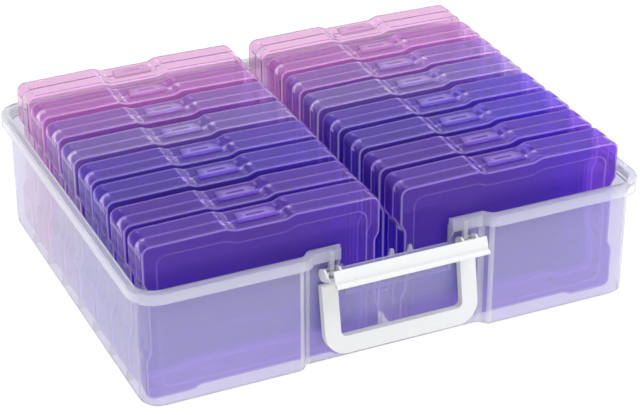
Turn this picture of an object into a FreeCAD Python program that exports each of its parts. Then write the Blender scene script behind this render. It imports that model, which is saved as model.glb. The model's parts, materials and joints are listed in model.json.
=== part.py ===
"""Photo keeper case: an open clear tub with sixteen slim snap-shut photo cases standing in two columns.

Frame: millimetres, origin at the centre of the tub's underside, +X to the right along the front,
+Y to the back, +Z up. The latch flap is modelled swung open, the carry handle hanging down.
"""
import FreeCAD, Part
import math
import os

Vec = FreeCAD.Vector

# Tub
tub_length = 372.0
rear_room = 13.76
tub_wall = 1.5
tub_floor = 2.2
tub_corner_radius = 14.0
tub_base_chamfer = 2.6
tub_height = 92.1
rim_reach = 6.3
rim_thick = 1.6
skirt_height = 8.0
seat_step = 1.9
seat_depth = 5.6

# Recess in the tub's front wall, behind the handle and the latch
recess_half_width = 66.5
recess_slant = 5.0
recess_depth = 5.9
recess_round = 4.6
cutdown_left = 42.5
cutdown_right = 40.3
cutdown_depth = 19.5
cutdown_chamfer_width = 4.5
cutdown_chamfer_height = 5.5
rim_end_setback = 1.4
flange_thick = 1.1
flange_drop = 10.5

# Small ribs inside the tub
tip_rib_width = 4.2
tip_rib_thick = 1.1
tip_rib_height = 4.6
tip_rib_near = -2.3
tip_rib_far = 11.7
pad_height = 46.0
pad_right = 5.2
pad_chamfer_width = 8.0
pad_chamfer_height = 12.0
rail_thick = 2.0
rail_height = 12.0
wedge_thick = 1.6
wedge_foot = 9.0
wedge_height = 11.0

# Photo cases
case_count = 8
case_pitch = 34.18
case_length = 171.0
case_height = 117.9
case_thick = 28.0
case_wall = 1.2
case_corner_radius = 6.0
case_foot_chamfer = 3.6
case_crown = 1.3
case_first_front = 7.2
lid_thick = 13.0
seam_gap = 0.2
case_floor_clearance = 0.3
column_gap = 15.6
column_gap_centre = -3.2
foot_length = 34.0
foot_slant = 3.0
foot_rise = 2.7
notch_bottom = 31.5
notch_top = 89.5
notch_slant = 5.5
notch_depth = 3.2
dip_left = 60.0
dip_right = 108.5
dip_slant = 5.7
dip_depth = 2.9
tab_width = 28.8
tab_thick = 1.5
tab_overlap = 4.8
tab_setback = 8.2
tab_clearance = 0.3
panel_side = 9.7
panel_top = 9.0
panel_bottom = 8.0
panel_corner_cut = 4.5
panel_sink = 0.5

# How far each case stands off its nominal place, front row first
left_row_shift = [0.6, -1.1, -0.6, -1.6, -1.4, 0.0, 0.6, 1.7]
right_row_shift = [1.7, 0.9, 0.2, -0.3, 0.5, -0.5, -0.9, 0.5]
left_side_shift = [0.1, -0.5, -0.2, 0.4, -0.3, 0.1, -0.2, 0.7]
right_side_shift = [0.4, -0.1, 0.5, -0.3, -0.5, -0.2, 0.1, -0.2]

# Carry handle and the shelf it hangs from
handle_half_width = 58.2
handle_arm = 11.8
handle_bottom = 12.5
handle_bar = 12.5
handle_outer_radius = 16.0
handle_inner_radius = 4.5
handle_below_latch = 11.2
handle_end_radius = 3.1
handle_rest_angle = 10.0
handle_gap = 0.3
handle_pin_radius = 1.6
handle_pin_reach = 10.0
pin_clearance = 0.07
end_clearance = 0.4
shelf_half_width = 40.0
shelf_below_pivot = 8.3
shelf_above_pivot = 2.5
shelf_reach = 5.2

# Latch flap and the lugs it turns on
latch_below_rim = 18.6
latch_pivot_reach = 4.9
latch_open_angle = 65.0
latch_half_width = 57.3
latch_plate_inner = 3.1
latch_plate_outer = 4.5
latch_plate_length = 19.0
latch_hook_near = 20.5
latch_hook_far = 22.1
latch_hook_rise = 3.6
latch_groove_floor = 21.3
latch_groove_drop = 5.0
latch_bead_far = 23.7
latch_bead_near = 20.3
latch_bead_top = 6.0
latch_bead_bottom = 8.9
latch_bead_round = 1.1
ear_outer = 58.0
ear_inner = 45.4
ear_cheek = 1.6
ear_shoulder = 6.0
ear_shoulder_rise = 4.2
ear_slope_end = 10.0
ear_slope_drop = 1.8
ear_toe = 13.0
ear_wrap_angle = 60.0
latch_pin_radius = 1.3
lug_near = 49.0
lug_thick = 3.0
lug_radius = 2.7
lug_neck = 1.6

# Overrun of cutting tools past the face they cut
overrun = 1.0

tub_depth = case_first_front + case_count * case_pitch + rear_room
wall_x = tub_length / 2
wall_y = tub_depth / 2
recess_face = -wall_y + recess_depth
recess_inner_face = recess_face + tub_wall
case_base = tub_floor + case_floor_clearance
cases_front = -wall_y + case_first_front
handle_pivot_y = recess_face - handle_gap - handle_end_radius
latch_pivot_y = recess_face - latch_pivot_reach
cutdown_edge_height = tub_height - cutdown_depth
latch_pivot_height = tub_height - latch_below_rim
handle_pivot_height = latch_pivot_height - handle_below_latch


def unit(a, b):
    """The unit vector from point a to point b, with their distance."""
    dx, dy = b[0] - a[0], b[1] - a[1]
    length = math.hypot(dx, dy)
    return dx / length, dy / length, length


def rounded_wire(corners, place):
    """A closed wire through corners (a, b, radius), each rounded by an arc, put in space by place."""
    edges = []
    count = len(corners)
    starts, ends, middles = [], [], []
    for index, (a, b, radius) in enumerate(corners):
        before, after = corners[index - 1], corners[(index + 1) % count]
        ux, uy, _ = unit((a, b), before)
        vx, vy, _ = unit((a, b), after)
        angle = math.acos(max(-1.0, min(1.0, ux * vx + uy * vy)))
        if radius == 0.0:
            starts.append((a, b))
            ends.append((a, b))
            middles.append(None)
            continue
        back = radius / math.tan(angle / 2)
        to_centre = radius / math.sin(angle / 2)
        bx, by, _ = unit((0.0, 0.0), (ux + vx, uy + vy))
        starts.append((a + ux * back, b + uy * back))
        ends.append((a + vx * back, b + vy * back))
        middles.append((a + bx * (to_centre - radius), b + by * (to_centre - radius)))
    for index in range(count):
        if middles[index]:
            arc = Part.Arc(place(*starts[index]), place(*middles[index]), place(*ends[index]))
            edges.append(arc.toShape())
        following = starts[(index + 1) % count]
        if math.hypot(following[0] - ends[index][0], following[1] - ends[index][1]) > 0.0:
            edges.append(Part.LineSegment(place(*ends[index]), place(*following)).toShape())
    return Part.Wire(edges)


def grown(corners, by):
    """The corners of an anticlockwise outline moved outwards by a distance, rounds kept concentric."""
    result = []
    count = len(corners)
    for index, (a, b, radius) in enumerate(corners):
        px, py, _ = unit(corners[index - 1], (a, b))
        qx, qy, _ = unit((a, b), corners[(index + 1) % count])
        share = 1.0 / (1.0 + px * qx + py * qy)
        new_a = a + by * share * (py + qy)
        new_b = b - by * share * (px + qx)
        outwards = px * qy - py * qx > 0.0
        new_radius = max(radius + by if outwards else radius - by, 0.0) if radius else 0.0
        result.append((new_a, new_b, new_radius))
    return result


def chamfered(corners):
    """An outline whose rounded corners are cut straight across instead."""
    result = []
    count = len(corners)
    for index, (a, b, radius) in enumerate(corners):
        if radius == 0.0:
            result.append((a, b, radius))
            continue
        for neighbour in (corners[index - 1], corners[(index + 1) % count]):
            ux, uy, _ = unit((a, b), neighbour)
            result.append((a + ux * radius, b + uy * radius, 0.0))
    return result


def plan_solid(corners, low, high):
    """An upright prism on an outline in the plan view."""
    wire = rounded_wire(corners, lambda x, y: Vec(x, y, low))
    return Part.Face(wire).extrude(Vec(0, 0, high - low))


def front_solid(corners, near, far):
    """A prism on an outline (x, z) in the front view, from y = near to y = far."""
    wire = rounded_wire(corners, lambda x, z: Vec(x, near, z))
    return Part.Face(wire).extrude(Vec(0, far - near, 0))


def side_solid(corners, left, right):
    """A prism on an outline (y, z) in the side view, from x = left to x = right."""
    wire = rounded_wire(corners, lambda y, z: Vec(left, y, z))
    return Part.Face(wire).extrude(Vec(right - left, 0, 0))


def box(low, high):
    """A box between two corners."""
    return Part.makeBox(high[0] - low[0], high[1] - low[1], high[2] - low[2], Vec(*low))


def rod(left, right, y, z, radius):
    """A round rod along X."""
    return Part.makeCylinder(radius, right - left, Vec(left, y, z), Vec(1, 0, 0))


def sharp(points):
    """Corners without rounding."""
    return [(a, b, 0.0) for a, b in points]


def tub_outline():
    """The outer face of the tub's wall, anticlockwise, with the recess in its front."""
    jog = recess_half_width + recess_slant
    corner = tub_corner_radius
    return [
        (-wall_x, -wall_y, corner),
        (-jog, -wall_y, recess_round),
        (-recess_half_width, recess_face, recess_round),
        (recess_half_width, recess_face, recess_round),
        (jog, -wall_y, recess_round),
        (wall_x, -wall_y, corner),
        (wall_x, wall_y, corner),
        (-wall_x, wall_y, corner),
    ]


def tub_shell():
    """The walls and floor, the stepped seat and the turned-down rim, as one open moulding."""
    outline = tub_outline()
    seat_bottom = tub_height - seat_depth
    body = plan_solid(outline, 0.0, seat_bottom)
    foot_edges = [edge for edge in body.Edges if edge.BoundBox.ZMax < tub_floor]
    body = body.makeChamfer(tub_base_chamfer, foot_edges)
    seat_outer = grown(outline, seat_step)
    body = body.fuse(plan_solid(seat_outer, seat_bottom - rim_thick, tub_height))
    rim_outer = grown(outline, rim_reach)
    rim = plan_solid(rim_outer, tub_height - skirt_height, tub_height)
    under_rim = plan_solid(grown(rim_outer, -rim_thick), tub_height - skirt_height - overrun,
                           tub_height - rim_thick)
    body = body.fuse(rim.cut(under_rim))
    hollow = plan_solid(grown(outline, -tub_wall), tub_floor, tub_height)
    seat_hollow = plan_solid(grown(outline, seat_step - rim_thick), seat_bottom, tub_height + overrun)
    return body.cut(hollow).cut(seat_hollow)


def cut_down(body):
    """The low stretch of the front wall, with a rim end and a closing flange at each side."""
    rim_face = recess_face - rim_reach
    front = rim_face - overrun
    back = recess_inner_face + seat_step + overrun
    top = tub_height + overrun
    opening = sharp([
        (-cutdown_left, top),
        (-cutdown_left, cutdown_edge_height + cutdown_chamfer_height),
        (-cutdown_left + cutdown_chamfer_width, cutdown_edge_height),
        (cutdown_right, cutdown_edge_height),
        (cutdown_right, top),
    ])
    body = body.cut(front_solid(opening, front, back))
    skirt_bottom = tub_height - skirt_height
    body = body.cut(box((-cutdown_left - rim_end_setback, front, skirt_bottom - overrun),
                        (-cutdown_left + overrun, recess_face - seat_step, top)))
    flange = sharp([
        (recess_face, tub_height),
        (rim_face, tub_height),
        (rim_face, skirt_bottom),
        (recess_face, skirt_bottom - flange_drop),
    ])
    left_end = -cutdown_left - rim_end_setback
    body = body.fuse(side_solid(flange, left_end - flange_thick, left_end))
    return body.fuse(side_solid(flange, cutdown_right, cutdown_right + flange_thick))


def tip_rib(centre):
    """A small pointed rib on the inside of the recess wall, standing above its low edge."""
    half = tip_rib_width / 2
    profile = sharp([
        (centre - half, tub_floor),
        (centre + half, tub_floor),
        (centre + half, cutdown_edge_height),
        (centre + half / 2, cutdown_edge_height + tip_rib_height),
        (centre - half / 2, cutdown_edge_height + tip_rib_height),
        (centre - half, cutdown_edge_height),
    ])
    return front_solid(profile, recess_inner_face - tub_wall / 2, recess_inner_face + tip_rib_thick)


def locating_pad():
    """The raised pad on the inside of the front wall, between the two columns."""
    left = column_gap_centre - column_gap / 2 + tub_wall
    profile = sharp([
        (left, tub_floor),
        (pad_right, tub_floor),
        (pad_right, pad_height - pad_chamfer_height),
        (pad_right - pad_chamfer_width, pad_height),
        (left, pad_height),
    ])
    return front_solid(profile, recess_inner_face - tub_wall / 2, recess_inner_face + tip_rib_thick)


def floor_rail():
    """The low rail on the floor that keeps the two columns apart."""
    half = rail_thick / 2
    return box((column_gap_centre - half, recess_inner_face, tub_floor / 2),
               (column_gap_centre + half, wall_y - tub_wall / 2, rail_height))


def wedge_rib(side, row):
    """A wedge at the foot of a side wall, in the gap behind the given row."""
    middle = cases_front + row * case_pitch - (case_pitch - case_thick) / 2
    near = middle - wedge_thick / 2
    wall = side * (wall_x - tub_wall / 2)
    toe = wall - side * wedge_foot
    points = [(wall, tub_floor / 2), (toe, tub_floor / 2), (toe, tub_floor), (wall, wedge_height)]
    if side > 0:
        points.reverse()
    return front_solid(sharp(points), near, near + wedge_thick)


def handle_shelf():
    """The shelf on the recess wall, with a pin at each end for the handle."""
    shelf = box((-shelf_half_width, recess_face - shelf_reach, handle_pivot_height - shelf_below_pivot),
                (shelf_half_width, recess_face + tub_wall / 2, handle_pivot_height + shelf_above_pivot))
    pin = rod(-shelf_half_width - handle_pin_reach, shelf_half_width + handle_pin_reach,
              handle_pivot_y, handle_pivot_height, handle_pin_radius)
    return shelf.fuse(pin)


def latch_lug(side):
    """The lug under the rim that the latch turns on."""
    near = min(side * lug_near, side * (lug_near + lug_thick))
    neck = box((near, latch_pivot_y - lug_neck, latch_pivot_height),
               (near + lug_thick, latch_pivot_y + lug_neck, tub_height - rim_thick / 2))
    ring = rod(near, near + lug_thick, latch_pivot_y, latch_pivot_height, lug_radius)
    bore = rod(near - overrun, near + lug_thick + overrun, latch_pivot_y, latch_pivot_height,
               latch_pin_radius + pin_clearance)
    return neck.fuse(ring).cut(bore)


def outer_tub():
    """The whole clear tub."""
    body = cut_down(tub_shell())
    extras = [tip_rib(tip_rib_near), tip_rib(tip_rib_far), locating_pad(), floor_rail(), handle_shelf()]
    extras += [latch_lug(side) for side in (-1, 1)]
    extras += [wedge_rib(side, row) for side in (-1, 1) for row in range(1, case_count)]
    return body.fuse(extras).removeSplitter()


def case_outline():
    """The outline (x, z) of a photo case from its own lower left corner, anticlockwise."""
    length, height, round_, cut = case_length, case_height, case_corner_radius, case_foot_chamfer
    foot_end = foot_length + foot_slant
    crown_share = dip_left / (length / 2)
    dip_edge = height + case_crown * crown_share
    dip_floor = height + case_crown - dip_depth
    return [
        (0.0, cut, 0.0),
        (cut, 0.0, 0.0),
        (foot_length, 0.0, 0.0),
        (foot_end, foot_rise, 0.0),
        (length - foot_end, foot_rise, 0.0),
        (length - foot_length, 0.0, 0.0),
        (length - cut, 0.0, 0.0),
        (length, cut, 0.0),
        (length, notch_bottom, 0.0),
        (length - notch_depth, notch_bottom + notch_slant, 0.0),
        (length - notch_depth, notch_top - notch_slant, 0.0),
        (length, notch_top, 0.0),
        (length, height, round_),
        (dip_right, dip_edge, 0.0),
        (dip_right - dip_slant, dip_floor, 0.0),
        (dip_left + dip_slant, dip_floor, 0.0),
        (dip_left, dip_edge, 0.0),
        (0.0, height, round_),
        (0.0, notch_top, 0.0),
        (notch_depth, notch_top - notch_slant, 0.0),
        (notch_depth, notch_bottom + notch_slant, 0.0),
        (0.0, notch_bottom, 0.0),
    ]


def moved(corners, x, z):
    """An outline shifted in its own plane."""
    return [(a + x, b + z, radius) for a, b, radius in corners]


def panel_outline():
    """The sunk panel on the front of a lid, following the dip in the top edge."""
    left, right = panel_side, case_length - panel_side
    low, high = panel_bottom, case_height - panel_top
    cut = panel_corner_cut
    return sharp([
        (left, low + cut),
        (left + cut, low),
        (right - cut, low),
        (right, low + cut),
        (right, high - cut),
        (right - cut, high),
        (dip_right, high),
        (dip_right - dip_slant, high - dip_depth),
        (dip_left + dip_slant, high - dip_depth),
        (dip_left, high),
        (left + cut, high),
        (left, high - cut),
    ])


def case_tray(left, front):
    """The deep rear half of a photo case, open to the front."""
    outer = moved(case_outline(), left, case_base)
    near = front + lid_thick + seam_gap
    back = front + case_thick
    shell = front_solid(outer, near, back)
    hollow = front_solid(chamfered(grown(outer, -case_wall)), near - overrun, back - case_wall)
    return shell.cut(hollow)


def case_lid(left, front):
    """The front half of a photo case, open to the back, with the snap tab that reaches over the tray."""
    outer = moved(case_outline(), left, case_base)
    seam = front + lid_thick
    shell = front_solid(outer, front, seam)
    shell = shell.cut(front_solid(moved(panel_outline(), left, case_base), front - overrun,
                                  front + panel_sink))
    hollow = front_solid(chamfered(grown(outer, -case_wall)), front + case_wall + panel_sink,
                         seam + overrun)
    dip_floor = case_base + case_height + case_crown - dip_depth
    middle = left + (dip_left + dip_right) / 2
    half = tab_width / 2
    tab = box((middle - half, seam - tab_overlap, dip_floor - case_wall / 2),
              (middle + half, front + case_thick - tab_setback, dip_floor + tab_clearance + tab_thick))
    under_tab = box((middle - half - overrun, seam, dip_floor - case_wall),
                    (middle + half + overrun, front + case_thick + overrun, dip_floor + tab_clearance))
    return shell.cut(hollow).fuse(tab.cut(under_tab)).removeSplitter()


def case_place(column, row):
    """The lower left corner and the front face of a photo case."""
    if column == "left":
        left = column_gap_centre - column_gap / 2 - case_length + left_side_shift[row]
        shift = left_row_shift[row]
    else:
        left = column_gap_centre + column_gap / 2 + right_side_shift[row]
        shift = right_row_shift[row]
    return left, cases_front + row * case_pitch + shift


def carry_handle():
    """The white loop handle, made hanging straight down, then swung out a little to its resting angle."""
    end = handle_end_radius
    top = handle_pivot_height + end
    near = handle_pivot_y - end
    far = handle_pivot_y + end
    side = [
        (far, handle_bottom, 0.0),
        (far, top, end - handle_gap),
        (near, top, end - handle_gap),
        (near, handle_bottom, 0.0),
    ]
    half = handle_half_width
    outer = [
        (-half, handle_bottom, handle_outer_radius),
        (half, handle_bottom, handle_outer_radius),
        (half, top, 0.0),
        (-half, top, 0.0),
    ]
    inner_half = half - handle_arm
    inner = [
        (-inner_half, handle_bottom + handle_bar, handle_inner_radius),
        (inner_half, handle_bottom + handle_bar, handle_inner_radius),
        (inner_half, top + overrun, 0.0),
        (-inner_half, top + overrun, 0.0),
    ]
    loop = front_solid(outer, near, far).cut(front_solid(inner, near - overrun, far + overrun))
    handle = loop.common(side_solid(side, -half, half))
    knuckle_start = shelf_half_width + end_clearance
    knuckle_end = inner_half + overrun
    for sign in (-1, 1):
        near_x = min(sign * knuckle_start, sign * knuckle_end)
        handle = handle.fuse(rod(near_x, near_x + knuckle_end - knuckle_start, handle_pivot_y,
                                 handle_pivot_height, end))
    bore_end = shelf_half_width + handle_pin_reach + end_clearance
    for sign in (-1, 1):
        near_x = min(sign * shelf_half_width, sign * bore_end)
        bore = rod(near_x, near_x + bore_end - shelf_half_width, handle_pivot_y,
                   handle_pivot_height, handle_pin_radius + pin_clearance)
        handle = handle.cut(bore)
    handle = handle.removeSplitter()
    handle.rotate(Vec(0, handle_pivot_y, handle_pivot_height), Vec(1, 0, 0), -handle_rest_angle)
    return handle


def latch_place(u, n):
    """A point of the latch's own side view, u along the flap and n outwards, in (y, z)."""
    angle = math.radians(latch_open_angle)
    y = latch_pivot_y - u * math.sin(angle) - n * math.cos(angle)
    z = latch_pivot_height + u * math.cos(angle) - n * math.sin(angle)
    return y, z


def latch_solid(corners, left, right):
    """A prism on an outline in the latch's own side view."""
    wire = rounded_wire(corners, lambda u, n: Vec(left, *latch_place(u, n)))
    return Part.Face(wire).extrude(Vec(right - left, 0, 0))


def latch_bar():
    """The white latch: a hooked flap with a forked ear at each end, turning on two pins."""
    outer, inner = latch_plate_outer, latch_plate_inner
    thick = outer - inner
    section = [
        (0.0, outer, 0.0),
        (0.0, inner, 0.0),
        (latch_hook_near, inner, 0.0),
        (latch_hook_near, -latch_hook_rise, 0.0),
        (latch_hook_far, -latch_hook_rise, thick / 3),
        (latch_hook_far, inner, 0.0),
        (latch_groove_floor, latch_groove_drop, 0.0),
        (latch_bead_far, latch_bead_top, latch_bead_round),
        (latch_bead_far, latch_bead_bottom, latch_bead_round),
        (latch_bead_near, latch_bead_bottom, latch_bead_round),
        (latch_plate_length, outer, 0.0),
    ]
    flap = latch_solid(section, -latch_half_width, latch_half_width)
    wrap = math.radians(ear_wrap_angle)
    cheek_round = outer
    latch = flap
    for sign in (-1, 1):
        for start, thickness in ((ear_inner, ear_cheek), (ear_outer - ear_cheek, ear_cheek)):
            near_x = min(sign * start, sign * (start + thickness))
            round_end = rod(near_x, near_x + thickness, latch_pivot_y, latch_pivot_height, cheek_round)
            web = latch_solid(sharp([
                (0.0, outer),
                (0.0, -ear_shoulder_rise),
                (ear_shoulder, -ear_shoulder_rise),
                (ear_slope_end, ear_slope_drop),
                (ear_toe, inner),
                (ear_toe, outer),
            ]), near_x, near_x + thickness)
            latch = latch.fuse([round_end, web])
        near_x = min(sign * ear_inner, sign * ear_outer)
        width = ear_outer - ear_inner
        ring = rod(near_x, near_x + width, latch_pivot_y, latch_pivot_height, outer).cut(
            rod(near_x - overrun, near_x + width + overrun, latch_pivot_y, latch_pivot_height, inner))
        reach = 2 * outer
        open_side = sharp([
            (0.0, 0.0),
            (0.0, reach),
            (reach, reach),
            (reach, -reach),
            (-reach * math.cos(wrap), -reach * math.sin(wrap)),
        ])
        ring = ring.cut(latch_solid(open_side, near_x - overrun, near_x + width + overrun))
        pin = rod(near_x + overrun / 2, near_x + width - overrun / 2, latch_pivot_y,
                  latch_pivot_height, latch_pin_radius)
        latch = latch.fuse([ring, pin])
    return latch.removeSplitter()


def export(shape, name):
    """Writes one piece as its own file."""
    if len(shape.Solids) != 1 or not shape.isValid():
        print("check", name, "solids", len(shape.Solids), "valid", shape.isValid())
    shape.exportStep(os.path.join("parts", name + ".step"))


os.makedirs("parts", exist_ok=True)
export(outer_tub(), "outer_tub")
export(carry_handle(), "carry_handle")
export(latch_bar(), "latch_bar")
for column in ("left", "right"):
    for row in range(case_count):
        left, front = case_place(column, row)
        name = column + "_" + str(row + 1)
        export(case_tray(left, front), "case_tray_" + name)
        export(case_lid(left, front), "case_lid_" + name)
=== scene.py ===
import json
import math

import bmesh
import bpy
from mathutils import Matrix, Vector


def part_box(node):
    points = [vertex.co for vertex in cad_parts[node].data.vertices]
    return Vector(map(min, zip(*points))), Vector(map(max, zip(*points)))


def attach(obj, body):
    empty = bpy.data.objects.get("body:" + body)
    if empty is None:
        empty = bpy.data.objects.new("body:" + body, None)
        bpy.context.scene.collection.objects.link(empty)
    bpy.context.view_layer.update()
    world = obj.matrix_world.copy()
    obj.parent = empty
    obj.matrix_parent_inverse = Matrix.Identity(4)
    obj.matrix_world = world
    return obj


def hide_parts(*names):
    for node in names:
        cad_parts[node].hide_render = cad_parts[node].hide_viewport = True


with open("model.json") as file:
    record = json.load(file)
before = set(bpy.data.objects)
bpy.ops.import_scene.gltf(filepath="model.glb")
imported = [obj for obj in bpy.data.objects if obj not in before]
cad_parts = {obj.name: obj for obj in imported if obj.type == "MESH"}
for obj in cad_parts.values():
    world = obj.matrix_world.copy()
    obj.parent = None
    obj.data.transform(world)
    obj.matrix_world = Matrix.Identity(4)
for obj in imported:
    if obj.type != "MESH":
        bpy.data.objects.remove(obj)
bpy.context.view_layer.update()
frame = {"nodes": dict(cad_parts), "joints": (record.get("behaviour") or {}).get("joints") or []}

MM = 0.001

# Camera, worked out from the edges of the object in the photograph
CAMERA_PLACE = (-0.5687, -1.2717, 0.8145)
CAMERA_AZIMUTH = math.radians(-24.65)
CAMERA_ELEVATION = math.radians(29.02)
CAMERA_SENSOR, CAMERA_LENS = 36.0, 120.89
CAMERA_SHIFT = (-0.01414, -0.00639)
CAMERA_REACH = 20.0

# Studio, in metres and watts: the name, place and size of each lamp
LAMPS = (
    ("key", (0.58, -0.75, 1.25), (0.9, 0.7)),
    ("back", (0.5, 1.3, 1.6), (1.4, 0.8)),
)
LAMP_TARGET, LAMP_POWER = (0, 0, 0.08), 8
STUDIO_LIGHT = 0.75
BOUNCES = 24

# Table: its half width in metres, its drop in millimetres, and its looks
FLOOR_SIZE, FLOOR_DROP = 4.0, 0.5
FLOOR_GREY, FLOOR_GLOW, FLOOR_WHITENESS = 0.9, 1.08, 0.9

# Photo case, in millimetres from its lower left corner
CASE_WALL, SEAM_GAP = 1.1, 0.15
CASE_CORNER, CASE_CORNER_STEPS = 6.5, 6
CASE_CROWN = 1.3
CASE_FOOT_LENGTH, CASE_FOOT_SLANT, CASE_FOOT_RISE = 34.0, 3.0, 2.7
CASE_NOTCH_LOW, CASE_NOTCH_HIGH = 31.5, 89.5
CASE_NOTCH_SLANT, CASE_NOTCH_DEPTH = 5.5, 3.2
CASE_DIP_LEFT, CASE_DIP_RIGHT = 60.0, 108.5
CASE_DIP_SLANT, CASE_DIP_DEPTH = 5.7, 2.9
CASE_FACE_ROUND, CASE_FACE_STEPS = 2.4, 5
CASE_SEAM_ROUND = 0.45
SMALL_ROUND, SMALL_STEPS = 1.6, 3
PANEL_SIDE, PANEL_TOP, PANEL_BOTTOM, PANEL_CORNER = 9.7, 9.0, 8.0, 8.0
PANEL_RING, PANEL_STEP, PANEL_SINK = 0.35, 0.7, 0.45
TAB_WIDTH, TAB_RISE, TAB_FOOT = 28.8, 1.4, 0.2
TAB_NEAR, TAB_FAR, TAB_SHIFT = 8.2, 19.8, 1.0
TAB_CORNER, TAB_TAPER = 4.0, 1.5
TAB_ROUND, TAB_STEPS = 0.5, 2
TAB_SLOT_LENGTH, TAB_SLOT_WIDTH, TAB_SLOT_SINK = 13.5, 3.2, 0.6

# Faces that lie flat against an axis, and the roundings of a case: the least and greatest share of
# their normal across the case, and the greatest width of a face in a bend, in millimetres
FLAT = 0.99
ROUND_LOW, ROUND_HIGH = 0.03, 0.97
BEND_STEP = 2.4

# Painted highlights on the edges of a case, and a painted reflection on the dip's bends: strengths, the tilts
# of the panel's step, the tilt and half width of the bends, the half length of the slot's mark and the
# tolerances, in millimetres
PANEL_LIGHT, BEND_LIGHT, SLOT_LIGHT = 0.6, 0.3, 0.6
STEP_TILT_LOW, STEP_TILT_HIGH = 0.5, 0.95
BEND_TILT, BEND_REACH = 0.5, 0.7
RIM_FOCUS = 5
SLOT_REACH = 8.0
FACE_TOLERANCE, SLOT_TOLERANCE = 0.01, 0.001

# Case plastic: transmission and roughness, clear and frosted, and the share of white in its frosted tints and
# in the painted highlight on its edges
CASE_CLEAR, CASE_FROSTED = (0.90, 0.03), (0.8, 0.2)
CASE_IOR = 1.32
FROST_PALENESS, EDGE_HIGHLIGHT_PALENESS = 0.08, 0.5
# Strength of the edges' painted glow, the first row whose edges get a darker painted shade, and that shade's
# colour
EDGE_PAINTED_GLOW, FIRST_PALE_ROW, PALE_ROW_EDGE_SHADE = 0.19, 8, (0.78, 0.45, 0.85)
ROW_TINTS = {
    1: (0.48, 0.25, 0.94), 2: (0.46, 0.24, 0.94), 3: (0.44, 0.27, 0.98), 4: (0.48, 0.31, 0.98),
    5: (0.70, 0.54, 0.99), 6: (0.76, 0.54, 0.98), 7: (0.88, 0.55, 0.93), 8: (0.97, 0.74, 0.92),
}

# Tub: the name, tint, transmission and roughness of its walls, of its rim and of its small faces; the paler,
# less clear plastic of the small faces is painted light that lifts their shade. The rim's height is in
# millimetres, and a small face's area in square millimetres
TUB_PLASTICS = (
    ("tub_wall_plastic", (0.88, 0.86, 1.0), 0.82, 0.02),
    ("tub_rim_plastic", (0.94, 0.94, 1.0), 0.74, 0.06),
    ("tub_rib_plastic", (0.95, 0.95, 1.0), 0.62, 0.1),
)
RIM_PLASTIC, RIB_PLASTIC = 1, 2
# Edges of the tub: their painted highlight colour and painted glow, and the tub's specular tint
TUB_EDGE_HIGHLIGHT, TUB_PAINTED_GLOW, TUB_GLOSS = (0.99, 0.99, 1.0), (0.2, 0.2, 0.22), (0.8, 0.8, 1.0)
TUB_IOR = 1.30
TUB_ROUND, TUB_STEPS = 0.45, 2
RIM_BAND, RIB_AREA = 11.0, 120.0

# White parts, in millimetres: the handle's front and back roundings, and the latch's
WHITE, WHITE_ROUGHNESS, WHITE_IOR = (0.84, 0.845, 0.86), 0.35, 1.45
HANDLE_TILT = math.radians(10)
HANDLE_THICK, HANDLE_MARGIN = 6.2, 0.05
HANDLE_ROUND, HANDLE_STEPS = 2.4, 5
HANDLE_BACK_ROUND, HANDLE_BACK_STEPS = 0.6, 2
LATCH_ROUND, LATCH_STEPS = 0.3, 2

# Cleaning of the solids' meshes: the distance of doubles in millimetres, and angles
WELD = 0.005
COPLANAR = math.radians(0.5)
SHARP_TO_ROUND, SHARP_TO_SHADE = math.radians(25), math.radians(28)


def set_camera():
    """The photograph's viewing angle."""
    data = bpy.data.cameras.new("camera")
    data.sensor_width = CAMERA_SENSOR
    data.lens = CAMERA_LENS
    data.shift_x, data.shift_y = CAMERA_SHIFT
    data.clip_end = CAMERA_REACH
    camera = bpy.data.objects.new("camera", data)
    bpy.context.scene.collection.objects.link(camera)
    camera.location = CAMERA_PLACE
    camera.rotation_euler = (math.pi / 2 - CAMERA_ELEVATION, 0.0, CAMERA_AZIMUTH)
    bpy.context.scene.camera = camera


def set_world():
    """An even white studio."""
    world = bpy.data.worlds.new("studio")
    world.use_nodes = True
    background = world.node_tree.nodes["Background"]
    background.inputs["Color"].default_value = (1.0, 1.0, 1.0, 1.0)
    background.inputs["Strength"].default_value = STUDIO_LIGHT
    bpy.context.scene.world = world


def softbox(name, place, size):
    """A rectangular studio lamp, aimed at the object."""
    data = bpy.data.lights.new(name, "AREA")
    data.shape = "RECTANGLE"
    data.size, data.size_y = size
    data.energy = LAMP_POWER
    lamp = bpy.data.objects.new(name, data)
    lamp.location = place
    lamp.rotation_euler = (Vector(LAMP_TARGET) - Vector(place)).to_track_quat("-Z", "Y").to_euler()
    bpy.context.scene.collection.objects.link(lamp)


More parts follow.
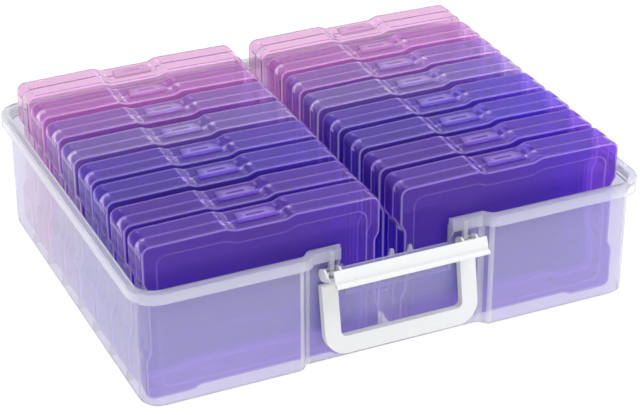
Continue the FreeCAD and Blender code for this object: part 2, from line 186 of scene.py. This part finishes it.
def make_floor():
    """The white table: mostly a white glow where it is seen, and a plain grey surface for diffuse light."""
    mesh = bpy.data.meshes.new("floor")
    bm = bmesh.new()
    bmesh.ops.create_grid(bm, x_segments=1, y_segments=1, size=FLOOR_SIZE)
    bm.to_mesh(mesh)
    bm.free()
    floor = bpy.data.objects.new("floor", mesh)
    floor.location.z = -FLOOR_DROP * MM
    bpy.context.scene.collection.objects.link(floor)
    material = bpy.data.materials.new("floor")
    material.use_nodes = True
    nodes, links = material.node_tree.nodes, material.node_tree.links
    nodes.clear()
    diffuse = nodes.new("ShaderNodeBsdfDiffuse")
    diffuse.inputs["Color"].default_value = (FLOOR_GREY, FLOOR_GREY, FLOOR_GREY, 1.0)
    glow = nodes.new("ShaderNodeEmission")
    glow.inputs["Color"].default_value = (1.0, 1.0, 1.0, 1.0)
    glow.inputs["Strength"].default_value = FLOOR_GLOW
    path = nodes.new("ShaderNodeLightPath")
    seen = nodes.new("ShaderNodeMath")
    seen.operation = "MULTIPLY"
    seen.inputs[1].default_value = FLOOR_WHITENESS
    unlit = nodes.new("ShaderNodeMath")
    unlit.operation = "SUBTRACT"
    unlit.inputs[0].default_value = 1.0
    mix = nodes.new("ShaderNodeMixShader")
    output = nodes.new("ShaderNodeOutputMaterial")
    links.new(path.outputs["Is Diffuse Ray"], unlit.inputs[1])
    links.new(unlit.outputs["Value"], seen.inputs[0])
    links.new(seen.outputs["Value"], mix.inputs["Fac"])
    links.new(diffuse.outputs["BSDF"], mix.inputs[1])
    links.new(glow.outputs["Emission"], mix.inputs[2])
    links.new(mix.outputs["Shader"], output.inputs["Surface"])
    mesh.materials.append(material)


def edge_group():
    """Shared node group: one colour on the flats and another on the edges, where the light they gather is
    painted.
    """
    group = bpy.data.node_groups.new("edge_colour", "ShaderNodeTree")
    for label, kind in (("Colour", "NodeSocketColor"), ("Edge Colour", "NodeSocketColor"),
                        ("Strength", "NodeSocketFloat")):
        group.interface.new_socket(name=label, in_out="INPUT", socket_type=kind)
    group.interface.new_socket(name="Colour", in_out="OUTPUT", socket_type="NodeSocketColor")
    nodes, links = group.nodes, group.links
    given = nodes.new("NodeGroupInput")
    result = nodes.new("NodeGroupOutput")
    edge = nodes.new("ShaderNodeAttribute")
    edge.attribute_name = "edge"
    share = nodes.new("ShaderNodeMath")
    share.operation = "MULTIPLY"
    mix = nodes.new("ShaderNodeMix")
    mix.data_type = "RGBA"
    links.new(edge.outputs["Fac"], share.inputs[0])
    links.new(given.outputs["Strength"], share.inputs[1])
    links.new(share.outputs["Value"], mix.inputs["Factor"])
    links.new(given.outputs["Colour"], mix.inputs["A"])
    links.new(given.outputs["Edge Colour"], mix.inputs["B"])
    links.new(mix.outputs["Result"], result.inputs["Colour"])


def clear_plastic(name, tint, transmission, roughness, painted_edge_tint, glow, gloss_tint, ior):
    """Clear tinted moulding whose rounded edges get a painted highlight in the base colour and a painted
    glow.
    """
    material = bpy.data.materials.new(name)
    material.use_nodes = True
    nodes, links = material.node_tree.nodes, material.node_tree.links
    shader = nodes["Principled BSDF"]
    shader.inputs["IOR"].default_value = ior
    shader.inputs["Roughness"].default_value = roughness
    shader.inputs["Transmission Weight"].default_value = transmission
    # Base colour: the tint, turning to the painted edge colour along the edge mask
    colour = nodes.new("ShaderNodeGroup")
    colour.node_tree = bpy.data.node_groups["edge_colour"]
    colour.inputs["Colour"].default_value = (*tint, 1.0)
    colour.inputs["Edge Colour"].default_value = (*painted_edge_tint, 1.0)
    colour.inputs["Strength"].default_value = 1.0
    links.new(colour.outputs["Colour"], shader.inputs["Base Color"])
    # Painted glow: the emission shows the glow colour along the edge mask, though the plastic is no lamp
    light = nodes.new("ShaderNodeGroup")
    light.node_tree = bpy.data.node_groups["edge_colour"]
    light.inputs["Colour"].default_value = (0.0, 0.0, 0.0, 1.0)
    light.inputs["Edge Colour"].default_value = (*glow, 1.0)
    light.inputs["Strength"].default_value = 1.0
    links.new(light.outputs["Colour"], shader.inputs["Emission Color"])
    shader.inputs["Emission Strength"].default_value = 1.0
    material.cycles.emission_sampling = "NONE"
    shader.inputs["Specular Tint"].default_value = (*gloss_tint, 1.0)
    return material


def opaque_plastic(name, colour, roughness, ior):
    """Solid coloured moulding."""
    material = bpy.data.materials.new(name)
    material.use_nodes = True
    shader = material.node_tree.nodes["Principled BSDF"]
    shader.inputs["Base Color"].default_value = (*colour, 1.0)
    shader.inputs["Roughness"].default_value = roughness
    shader.inputs["IOR"].default_value = ior
    return material


def case_levels():
    """A photo case's length, and the heights of its top corners, its dip's edges and its dip's floor."""
    low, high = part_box("case_tray_left_1")
    length = (high.x - low.x) / MM
    slope = CASE_CROWN * CASE_DIP_LEFT / (length / 2)
    height = (high.z - low.z) / MM - slope
    return length, height, height + slope, height + CASE_CROWN - CASE_DIP_DEPTH


def case_outline():
    """The outline (x, z, corner round) of a photo case from its lower left corner."""
    length, height, dip_edge, dip_floor = case_levels()
    foot_end = CASE_FOOT_LENGTH + CASE_FOOT_SLANT
    corner, small = CASE_CORNER, SMALL_ROUND
    return [
        (0.0, 0.0, corner),
        (CASE_FOOT_LENGTH, 0.0, small),
        (foot_end, CASE_FOOT_RISE, small),
        (length - foot_end, CASE_FOOT_RISE, small),
        (length - CASE_FOOT_LENGTH, 0.0, small),
        (length, 0.0, corner),
        (length, CASE_NOTCH_LOW, small),
        (length - CASE_NOTCH_DEPTH, CASE_NOTCH_LOW + CASE_NOTCH_SLANT, small),
        (length - CASE_NOTCH_DEPTH, CASE_NOTCH_HIGH - CASE_NOTCH_SLANT, small),
        (length, CASE_NOTCH_HIGH, small),
        (length, height, corner),
        (CASE_DIP_RIGHT, dip_edge, small),
        (CASE_DIP_RIGHT - CASE_DIP_SLANT, dip_floor, small),
        (CASE_DIP_LEFT + CASE_DIP_SLANT, dip_floor, small),
        (CASE_DIP_LEFT, dip_edge, small),
        (0.0, height, corner),
        (0.0, CASE_NOTCH_HIGH, small),
        (CASE_NOTCH_DEPTH, CASE_NOTCH_HIGH - CASE_NOTCH_SLANT, small),
        (CASE_NOTCH_DEPTH, CASE_NOTCH_LOW + CASE_NOTCH_SLANT, small),
        (0.0, CASE_NOTCH_LOW, small),
    ]


def panel_outline():
    """The outline of the sunk panel on the flat face of a photo case half."""
    low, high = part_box("case_tray_left_1")
    length = (high.x - low.x) / MM
    top = (high.z - low.z) / MM - PANEL_TOP
    left, right = PANEL_SIDE, length - PANEL_SIDE
    return [
        (left, PANEL_BOTTOM, PANEL_CORNER),
        (right, PANEL_BOTTOM, PANEL_CORNER),
        (right, top, PANEL_CORNER),
        (CASE_DIP_RIGHT, top, SMALL_ROUND),
        (CASE_DIP_RIGHT - CASE_DIP_SLANT, top - CASE_DIP_DEPTH, SMALL_ROUND),
        (CASE_DIP_LEFT + CASE_DIP_SLANT, top - CASE_DIP_DEPTH, SMALL_ROUND),
        (CASE_DIP_LEFT, top, SMALL_ROUND),
        (left, top, PANEL_CORNER),
    ]


def flat_face(bm, corners, y):
    """A face in the front view through corners (x, z, round), its corners rounded by vertex bevels."""
    before = set(bm.faces)
    verts = [bm.verts.new((x * MM, y * MM, z * MM)) for x, z, _ in corners]
    bm.faces.new(verts)
    for radius in sorted({corner[2] for corner in corners}):
        group = [vert for vert, corner in zip(verts, corners) if corner[2] == radius]
        segments = CASE_CORNER_STEPS if radius > 2 * SMALL_ROUND else SMALL_STEPS
        bmesh.ops.bevel(bm, geom=group, offset=radius * MM, offset_type="OFFSET", affect="VERTICES",
                        segments=segments, profile=0.5, material=-1)
    return next(f for f in bm.faces if f not in before)


def mark_edges(bm, strength):
    """Stores how strongly each vertex gets the painted highlight on the plastic's edges."""
    layer = bm.verts.layers.float.new("edge")
    bm.normal_update()
    for vert in bm.verts:
        vert[layer] = strength(vert)


def round_over(bm, cap, radius, steps):
    """Rounds the rim of a cap that stands back by a radius, in steps of insets."""
    inset, rise = 0.0, 0.0
    for step in range(1, steps + 1):
        angle = math.pi / 2 * step / steps
        new_inset, new_rise = radius * (1.0 - math.cos(angle)), radius * math.sin(angle)
        bmesh.ops.inset_region(bm, faces=[cap], thickness=(new_inset - inset) * MM,
                               depth=(new_rise - rise) * MM, use_even_offset=True)
        inset, rise = new_inset, new_rise


def is_rounding(face):
    """Whether a face of a case half belongs to a rounded edge or corner rather than a flat."""
    across = abs(face.normal.y)
    if across > ROUND_LOW:
        return across < ROUND_HIGH
    width = max(Vector((e.verts[0].co.x - e.verts[1].co.x, e.verts[0].co.z - e.verts[1].co.z)).length
                for e in face.edges)
    return width < BEND_STEP * MM


def case_highlight_mask(vert, face_y):
    """How strong a case half's painted highlight is at a vertex: the rim, the panel's step, and a painted
    reflection on the bends of the dip's left slant.
    """
    tilts = [abs(f.normal.y) for f in vert.link_faces]
    on_face = abs(vert.co.y - face_y * MM) < FACE_TOLERANCE * MM
    if on_face and any(STEP_TILT_LOW < tilt < STEP_TILT_HIGH for tilt in tilts):
        return PANEL_LIGHT
    if not all(f.smooth for f in vert.link_faces):
        return 0.0
    bends = (CASE_DIP_LEFT, CASE_DIP_LEFT + CASE_DIP_SLANT)
    off_bend = min(abs(vert.co.x / MM - bend) for bend in bends)
    if vert.normal.z > BEND_TILT and off_bend < BEND_REACH:
        return BEND_LIGHT
    across = abs(vert.normal.y)
    return (4.0 * across * across * (1.0 - across * across)) ** RIM_FOCUS


def case_half_mesh(name, face_y, seam_y):
    """One half of a photo case as a thin shell, from its flat face to the seam."""
    bm = bmesh.new()
    inwards = 1.0 if face_y < seam_y else -1.0
    start = face_y + inwards * CASE_FACE_ROUND
    end = seam_y - inwards * CASE_SEAM_ROUND
    face = flat_face(bm, case_outline(), start)
    made = bmesh.ops.extrude_face_region(bm, geom=[face])
    moved = [g for g in made["geom"] if isinstance(g, bmesh.types.BMVert)]
    bmesh.ops.translate(bm, verts=moved, vec=(0.0, (end - start) * MM, 0.0))
    bmesh.ops.recalc_face_normals(bm, faces=bm.faces[:])
    caps = sorted((f for f in bm.faces if abs(f.normal.y) > FLAT), key=lambda f: f.calc_center_median().y)
    face_cap, seam_cap = caps if inwards > 0 else caps[::-1]
    round_over(bm, face_cap, CASE_FACE_ROUND, CASE_FACE_STEPS)
    round_over(bm, seam_cap, CASE_SEAM_ROUND, 1)
    outer = list(face_cap.edges)
    bmesh.ops.delete(bm, geom=[face_cap, seam_cap], context="FACES_ONLY")
    panel = flat_face(bm, panel_outline(), face_y)
    bmesh.ops.triangle_fill(bm, edges=outer + list(panel.edges), use_beauty=True, normal=(0.0, 1.0, 0.0))
    bmesh.ops.recalc_face_normals(bm, faces=bm.faces[:])
    if panel.normal.y * inwards > 0.0:
        bmesh.ops.reverse_faces(bm, faces=bm.faces[:])
    bmesh.ops.inset_region(bm, faces=[panel], thickness=PANEL_RING * MM, use_even_offset=True)
    bmesh.ops.inset_region(bm, faces=[panel], thickness=PANEL_STEP * MM, depth=-PANEL_SINK * MM,
                           use_even_offset=True)
    bm.normal_update()
    for f in bm.faces:
        f.smooth = is_rounding(f)
    mark_edges(bm, lambda vert: case_highlight_mask(vert, face_y))
    mesh = bpy.data.meshes.new(name)
    bm.to_mesh(mesh)
    bm.free()
    return mesh


def tab_mesh(name):
    """The snap tab of a lid with its slot, from the lid's own corner."""
    bm = bmesh.new()
    floor = case_levels()[3]
    middle = (CASE_DIP_LEFT + CASE_DIP_RIGHT) / 2 + TAB_SHIFT
    half = TAB_WIDTH / 2
    top = floor + TAB_RISE
    corners = [
        (middle - half, TAB_NEAR), (middle + half, TAB_NEAR),
        (middle + half, TAB_FAR - TAB_CORNER), (middle + half - TAB_CORNER, TAB_FAR),
        (middle - half + TAB_TAPER, TAB_FAR),
    ]
    face = bm.faces.new([bm.verts.new((x * MM, y * MM, (floor - TAB_FOOT) * MM)) for x, y in corners])
    made = bmesh.ops.extrude_face_region(bm, geom=[face])
    moved = [g for g in made["geom"] if isinstance(g, bmesh.types.BMVert)]
    bmesh.ops.translate(bm, verts=moved, vec=(0.0, 0.0, (TAB_RISE + TAB_FOOT - TAB_ROUND) * MM))
    bmesh.ops.recalc_face_normals(bm, faces=bm.faces[:])
    cap = next(f for f in bm.faces if f.normal.z > FLAT)
    round_over(bm, cap, TAB_ROUND, TAB_STEPS)
    outer = list(cap.edges)
    bmesh.ops.delete(bm, geom=[cap], context="FACES_ONLY")
    across, along = TAB_SLOT_LENGTH / 2, TAB_SLOT_WIDTH / 2
    centre = (TAB_NEAR + TAB_FAR) / 2
    slot_corners = [(-across, -along), (across, -along), (across, along), (-across, along)]
    slot = bm.faces.new([bm.verts.new(((middle + x) * MM, (centre + y) * MM, top * MM))
                         for x, y in slot_corners])
    bmesh.ops.bridge_loops(bm, edges=outer + list(slot.edges))
    bmesh.ops.recalc_face_normals(bm, faces=bm.faces[:])
    bmesh.ops.inset_region(bm, faces=[slot], thickness=TAB_SLOT_SINK / 2 * MM,
                           depth=-TAB_SLOT_SINK * MM, use_even_offset=True)
    # Painted highlight around the rim of the slot
    slot_edge = top * MM - SLOT_TOLERANCE * MM
    reach = SLOT_REACH * MM
    mark_edges(bm, lambda v: SLOT_LIGHT if v.co.z > slot_edge and abs(v.co.x - middle * MM) < reach else 0.0)
    mesh = bpy.data.meshes.new(name)
    bm.to_mesh(mesh)
    bm.free()
    return mesh


def placed_copy(mesh, name, place):
    """An object with its own copy of a mesh, shifted to its place within the mesh."""
    own = mesh.copy()
    own.name = name
    own.transform(Matrix.Translation(place))
    piece = bpy.data.objects.new(name, own)
    bpy.context.scene.collection.objects.link(piece)
    return piece


def add_wall(piece, thickness):
    """Gives a thin shell its wall, inwards."""
    wall = piece.modifiers.new("wall", "SOLIDIFY")
    wall.thickness = thickness * MM
    wall.offset = -1.0
    wall.use_even_offset = True


def painted_edge_colours(row, tint):
    """The painted colour of a case's edges and their painted glow: a paler painted highlight on the deep
    tints, a darker painted shade on the palest.
    """
    if row >= FIRST_PALE_ROW:
        return PALE_ROW_EDGE_SHADE, [EDGE_PAINTED_GLOW * c for c in PALE_ROW_EDGE_SHADE]
    light = [EDGE_HIGHLIGHT_PALENESS + (1.0 - EDGE_HIGHLIGHT_PALENESS) * c for c in tint]
    return light, [EDGE_PAINTED_GLOW * c for c in light]


def make_cases():
    """All photo cases, each lid and tray in its own place, with a tab on each lid."""
    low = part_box("case_lid_left_1")[0]
    tray_low, tray_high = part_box("case_tray_left_1")
    seam = (tray_low.y - low.y) / MM
    back = (tray_high.y - low.y) / MM
    lid = case_half_mesh("lid_form", 0.0, seam - SEAM_GAP)
    tray = case_half_mesh("tray_form", back, seam)
    tab = tab_mesh("tab_form")
    for column in ("left", "right"):
        for row, tint in ROW_TINTS.items():
            key = column + "_" + str(row)
            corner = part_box("case_lid_" + key)[0]
            place = Vector((corner.x, corner.y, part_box("case_tray_" + key)[0].z))
            name = "case_plastic_" + str(row)
            plastic = bpy.data.materials.get(name)
            if plastic is None:
                # The painted highlight colour of this row's edges, and their painted glow
                light, glow = painted_edge_colours(row, tint)
                frosted = [FROST_PALENESS + (1.0 - FROST_PALENESS) * c for c in tint]
                plastic = clear_plastic(name, tint, *CASE_CLEAR, light, glow, tint, CASE_IOR)
                clear_plastic(name + "_frosted", frosted, *CASE_FROSTED, light, glow, tint, CASE_IOR)
            for form, part in ((lid, "lid"), (tray, "tray")):
                piece = placed_copy(form, part + "_" + key, place)
                piece.data.materials.append(plastic)
                add_wall(piece, CASE_WALL)
                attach(piece, "case_" + key)
                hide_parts("case_" + part + "_" + key)
            piece = placed_copy(tab, "tab_" + key, place)
            piece.data.materials.append(bpy.data.materials[name + "_frosted"])
            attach(piece, "case_" + key)


def round_edges(bm, chosen, width, segments):
    """Rounds the sharp edges for which chosen(edge) holds, and returns the vertices within the roundings."""
    sharp = [e for e in bm.edges if len(e.link_faces) == 2
             and e.calc_face_angle() > SHARP_TO_ROUND and chosen(e)]
    made = bmesh.ops.bevel(bm, geom=sharp, offset=width * MM, offset_type="OFFSET", affect="EDGES",
                           segments=segments, profile=0.5, material=-1, clamp_overlap=True)
    rounded = set(made["faces"])
    return {v for f in rounded for v in f.verts if all(g in rounded for g in v.link_faces)}


def cad_copy(node):
    """A rigid piece's own shape, without the lines between its triangles."""
    bm = bmesh.new()
    bm.from_mesh(frame["nodes"][node].data)
    bmesh.ops.remove_doubles(bm, verts=bm.verts[:], dist=WELD * MM)
    bmesh.ops.dissolve_limit(bm, angle_limit=COPLANAR, verts=bm.verts[:], edges=bm.edges[:])
    bmesh.ops.recalc_face_normals(bm, faces=bm.faces[:])
    return bm


def dressed_piece(bm, name):
    """The finished object of a dressed rigid piece."""
    for f in bm.faces:
        f.smooth = True
    mesh = bpy.data.meshes.new(name)
    bm.to_mesh(mesh)
    bm.free()
    mesh.set_sharp_from_angle(angle=SHARP_TO_SHADE)
    piece = bpy.data.objects.new(name, mesh)
    bpy.context.scene.collection.objects.link(piece)
    shading = piece.modifiers.new("flat_walls", "WEIGHTED_NORMAL")
    shading.keep_sharp = True
    return piece


def make_tub():
    """The clear tub, its edges slightly rounded, with walls, a paler and less clear rim, and small faces
    paler again as painted light against their shade.
    """
    bm = cad_copy("outer_tub")
    crests = round_edges(bm, lambda e: True, TUB_ROUND, TUB_STEPS)
    # Painted highlight and glow along the middles of the edge roundings
    mark_edges(bm, lambda v: 1.0 if v in crests else 0.0)
    tub = dressed_piece(bm, "tub")
    for plastic in TUB_PLASTICS:
        tub.data.materials.append(clear_plastic(*plastic, TUB_EDGE_HIGHLIGHT, TUB_PAINTED_GLOW, TUB_GLOSS, TUB_IOR))
    rim_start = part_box("outer_tub")[1].z - RIM_BAND * MM
    for face in tub.data.polygons:
        if min(tub.data.vertices[v].co.z for v in face.vertices) > rim_start:
            face.material_index = RIM_PLASTIC
        # Painted light: the small faces get the paler, less clear copy that lifts their shade
        elif face.area < RIB_AREA * MM * MM:
            face.material_index = RIB_PLASTIC
    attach(tub, "tub")
    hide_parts("outer_tub")


def make_white_parts():
    """The handle with its softly rounded front, and the latch."""
    white = opaque_plastic("white_plastic", WHITE, WHITE_ROUGHNESS, WHITE_IOR)
    pivot = Vector(next(j for j in frame["joints"] if j["name"] == "handle_hinge")["pos_m"])
    outwards = Vector((0.0, -math.cos(HANDLE_TILT), math.sin(HANDLE_TILT)))
    bm = cad_copy("carry_handle")
    reach = HANDLE_THICK / 2 * MM - HANDLE_MARGIN * MM
    loop = [e for e in bm.edges if all((v.co - pivot).dot(outwards) > reach for v in e.verts)]
    round_edges(bm, lambda e: e in loop, HANDLE_ROUND, HANDLE_STEPS)
    round_edges(bm, lambda e: all((v.co - pivot).dot(outwards) < -reach for v in e.verts),
                HANDLE_BACK_ROUND, HANDLE_BACK_STEPS)
    handle = dressed_piece(bm, "handle_loop")
    handle.data.materials.append(white)
    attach(handle, "handle")
    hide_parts("carry_handle")
    bm = cad_copy("latch_bar")
    round_edges(bm, lambda e: True, LATCH_ROUND, LATCH_STEPS)
    latch = dressed_piece(bm, "latch_flap")
    latch.data.materials.append(white)
    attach(latch, "latch")
    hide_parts("latch_bar")


set_camera()
set_world()
edge_group()
for lamp_name, lamp_place, lamp_size in LAMPS:
    softbox(lamp_name, lamp_place, lamp_size)
make_floor()
make_cases()
make_tub()
make_white_parts()

scene = bpy.context.scene
scene.view_settings.view_transform = "Standard"
scene.cycles.max_bounces = BOUNCES
scene.cycles.transmission_bounces = BOUNCES
scene.cycles.transparent_max_bounces = BOUNCES
